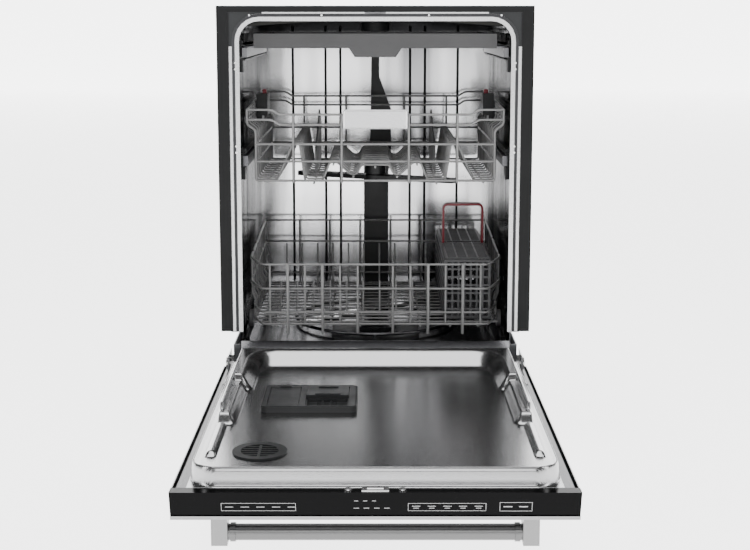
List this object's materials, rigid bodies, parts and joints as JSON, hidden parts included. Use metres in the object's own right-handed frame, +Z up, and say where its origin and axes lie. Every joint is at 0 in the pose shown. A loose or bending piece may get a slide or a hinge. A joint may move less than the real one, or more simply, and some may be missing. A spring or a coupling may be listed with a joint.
{
  "type": "built in dishwasher",
  "caption": "Built-in dishwasher with its drop-down door open, pull-out wire racks, a slim top tray, spray arms, a lidded cutlery basket and a bar handle.",
  "frame": {"origin": "centre of the bounding box's footprint on the floor, with the door open", "axes": "+X to the right as seen from the front, +Y into the machine, +Z up"},
  "size_m": [0.606, 1.257, 0.87],
  "materials": {
    "stainless_tub": "polished",
    "stainless_door": "satin",
    "stainless_frame": "satin",
    "handle_steel": "satin",
    "black_trim": "satin",
    "dark_trim": "matte",
    "dark_plastic": "satin",
    "panel_black": "gloss",
    "mark_white": "matte",
    "rack_wire": "satin",
    "rack_plate": "satin",
    "flap_grey": "satin",
    "basket_grey": "satin",
    "red_plastic": "satin",
    "tray_grey": "satin",
    "slide_metal": "satin",
    "seal_rubber": "matte",
    "blanket_felt": "matte",
    "base_paint": "satin",
    "pump_plastic": "satin",
    "valve_white": "satin",
    "heater_metal": "polished",
    "hinge_steel": "satin"
  },
  "bodies": {
    "cabinet": {"tub_wrap": "stainless_tub", "tub_back": "stainless_tub", "tub_floor": "stainless_tub", "front_frame": "stainless_frame", "tub_gasket": "seal_rubber", "cabinet_trims": "black_trim", "corner_plates": "dark_trim", "insulation_blanket": "blanket_felt", "base_frame": "base_paint", "leveling_legs": "dark_plastic", "toe_panel": "black_trim", "sump": "dark_plastic", "filter_plate": "dark_plastic", "wash_pump": "pump_plastic", "drain_pump": "pump_plastic", "inlet_valve": "valve_white", "heating_element": "hinge_steel", "feed_tube": "dark_plastic", "latch_strike": "hinge_steel", "mounting_brackets": "hinge_steel", "upper_rails": "dark_plastic", "third_rails": "dark_plastic", "hinge_brackets": "slide_metal"},
    "door": {"door_skin": "stainless_door", "door_liner": "stainless_door", "control_panel": "panel_black", "control_marks": "mark_white", "handle_bar": "handle_steel", "handle_posts": "handle_steel", "dispenser_body": "dark_plastic", "vent_grille": "dark_plastic", "door_latch": "slide_metal", "hinge_arms": "hinge_steel"},
    "detergent_cover": {"detergent_lid": "dark_plastic"},
    "rinse_aid_flap": {"rinse_aid_lid": "dark_plastic"},
    "filter": {"filter_cup": "dark_plastic"},
    "lower_arm": {"lower_spray_arm": "heater_metal"},
    "upper_arm": {"upper_spray_arm": "dark_plastic"},
    "upper_carriage": {"upper_rack_slides": "slide_metal"},
    "upper_rack": {"upper_rack_floor": "rack_wire", "upper_rack_end_walls": "rack_wire", "upper_rack_side_walls": "rack_wire", "upper_rack_handle": "rack_plate", "rack_adjusters": "dark_plastic", "upper_spray_feed": "dark_plastic"},
    "left_flap": {"left_cup_flap": "flap_grey"},
    "right_flap": {"right_cup_flap": "flap_grey"},
    "lower_rack": {"lower_rack_floor": "rack_wire", "lower_rack_end_walls": "rack_wire", "lower_rack_side_walls": "rack_wire", "cutlery_basket": "basket_grey", "basket_handle": "red_plastic"},
    "front_tine_row": {"front_tines": "rack_wire"},
    "rear_tine_row": {"rear_tines": "rack_wire"},
    "front_wheel_pair": {"front_wheels": "flap_grey"},
    "rear_wheel_pair": {"rear_wheels": "flap_grey"},
    "basket_front_lid": {"basket_lid_front": "basket_grey"},
    "basket_rear_lid": {"basket_lid_rear": "basket_grey"},
    "third_rack": {"third_rack_tray": "tray_grey", "third_rack_slides": "slide_metal"}
  },
  "joints": [
    {"name": "door_hinge", "type": "hinge", "parent": "cabinet", "child": "door", "pos_m": [0, 0.0635, 0.176], "axis": [-1, 0, 0], "range_deg": [0, 90]},
    {"name": "upper_rack_slide", "type": "slide", "parent": "cabinet", "child": "upper_carriage", "axis": [0, 1, 0], "range_m": [-0.42, 0]},
    {"name": "upper_rack_height", "type": "slide", "parent": "upper_carriage", "child": "upper_rack", "axis": [0, 0, 1], "range_m": [-0.045, 0]},
    {"name": "upper_arm_spin", "type": "hinge", "parent": "upper_rack", "child": "upper_arm", "pos_m": [0, 0.3405, 0.513], "axis": [0, 0, 1], "continuous": true},
    {"name": "left_flap_fold", "type": "hinge", "parent": "upper_rack", "child": "left_flap", "pos_m": [-0.121, 0.3405, 0.536], "axis": [0, 1, 0], "range_deg": [0, 38]},
    {"name": "right_flap_fold", "type": "hinge", "parent": "upper_rack", "child": "right_flap", "pos_m": [0.121, 0.3405, 0.536], "axis": [0, -1, 0], "range_deg": [0, 38]},
    {"name": "lower_rack_slide", "type": "slide", "parent": "cabinet", "child": "lower_rack", "axis": [0, 1, 0], "range_m": [-0.44, 0]},
    {"name": "front_wheel_roll", "type": "hinge", "parent": "lower_rack", "child": "front_wheel_pair", "pos_m": [0, 0.2065, 0.2365], "axis": [-1, 0, 0], "range_deg": [-1500, 10]},
    {"name": "rear_wheel_roll", "type": "hinge", "parent": "lower_rack", "child": "rear_wheel_pair", "pos_m": [0, 0.5105, 0.2365], "axis": [-1, 0, 0], "range_deg": [-1500, 10]},
    {"name": "front_tine_fold", "type": "hinge", "parent": "lower_rack", "child": "front_tine_row", "pos_m": [0, 0.2105, 0.247], "axis": [-1, 0, 0], "range_deg": [0, 75]},
    {"name": "rear_tine_fold", "type": "hinge", "parent": "lower_rack", "child": "rear_tine_row", "pos_m": [0, 0.4105, 0.247], "axis": [1, 0, 0], "range_deg": [0, 80]},
    {"name": "basket_front_lid_hinge", "type": "hinge", "parent": "lower_rack", "child": "basket_front_lid", "pos_m": [0.233, 0.2405, 0.3674], "axis": [0, -1, 0], "range_deg": [-85, 0]},
    {"name": "basket_rear_lid_hinge", "type": "hinge", "parent": "lower_rack", "child": "basket_rear_lid", "pos_m": [0.233, 0.4605, 0.3674], "axis": [0, -1, 0], "range_deg": [-85, 0]},
    {"name": "third_rack_slide", "type": "slide", "parent": "cabinet", "child": "third_rack", "axis": [0, 1, 0], "range_m": [-0.36, 0]},
    {"name": "detergent_cover_slide", "type": "slide", "parent": "door", "child": "detergent_cover", "axis": [0, -1, 0], "range_m": [0, 0.052]},
    {"name": "rinse_aid_flap_hinge", "type": "hinge", "parent": "door", "child": "rinse_aid_flap", "pos_m": [-0.183, -0.2555, 0.1995], "axis": [0, 1, 0], "range_deg": [-40, 0]},
    {"name": "filter_twist", "type": "hinge", "parent": "cabinet", "child": "filter", "pos_m": [0, 0.2305, 0.18], "axis": [0, 0, 1], "range_deg": [0, 60]},
    {"name": "lower_arm_spin", "type": "hinge", "parent": "cabinet", "child": "lower_arm", "pos_m": [0, 0.3405, 0.226], "axis": [0, 0, 1], "continuous": true}
  ],
  "couplings": [
    {"joint": "front_wheel_roll", "follows": "lower_rack_slide", "rad_per_m": 58.824},
    {"joint": "rear_wheel_roll", "follows": "lower_rack_slide", "rad_per_m": 58.824}
  ]
}
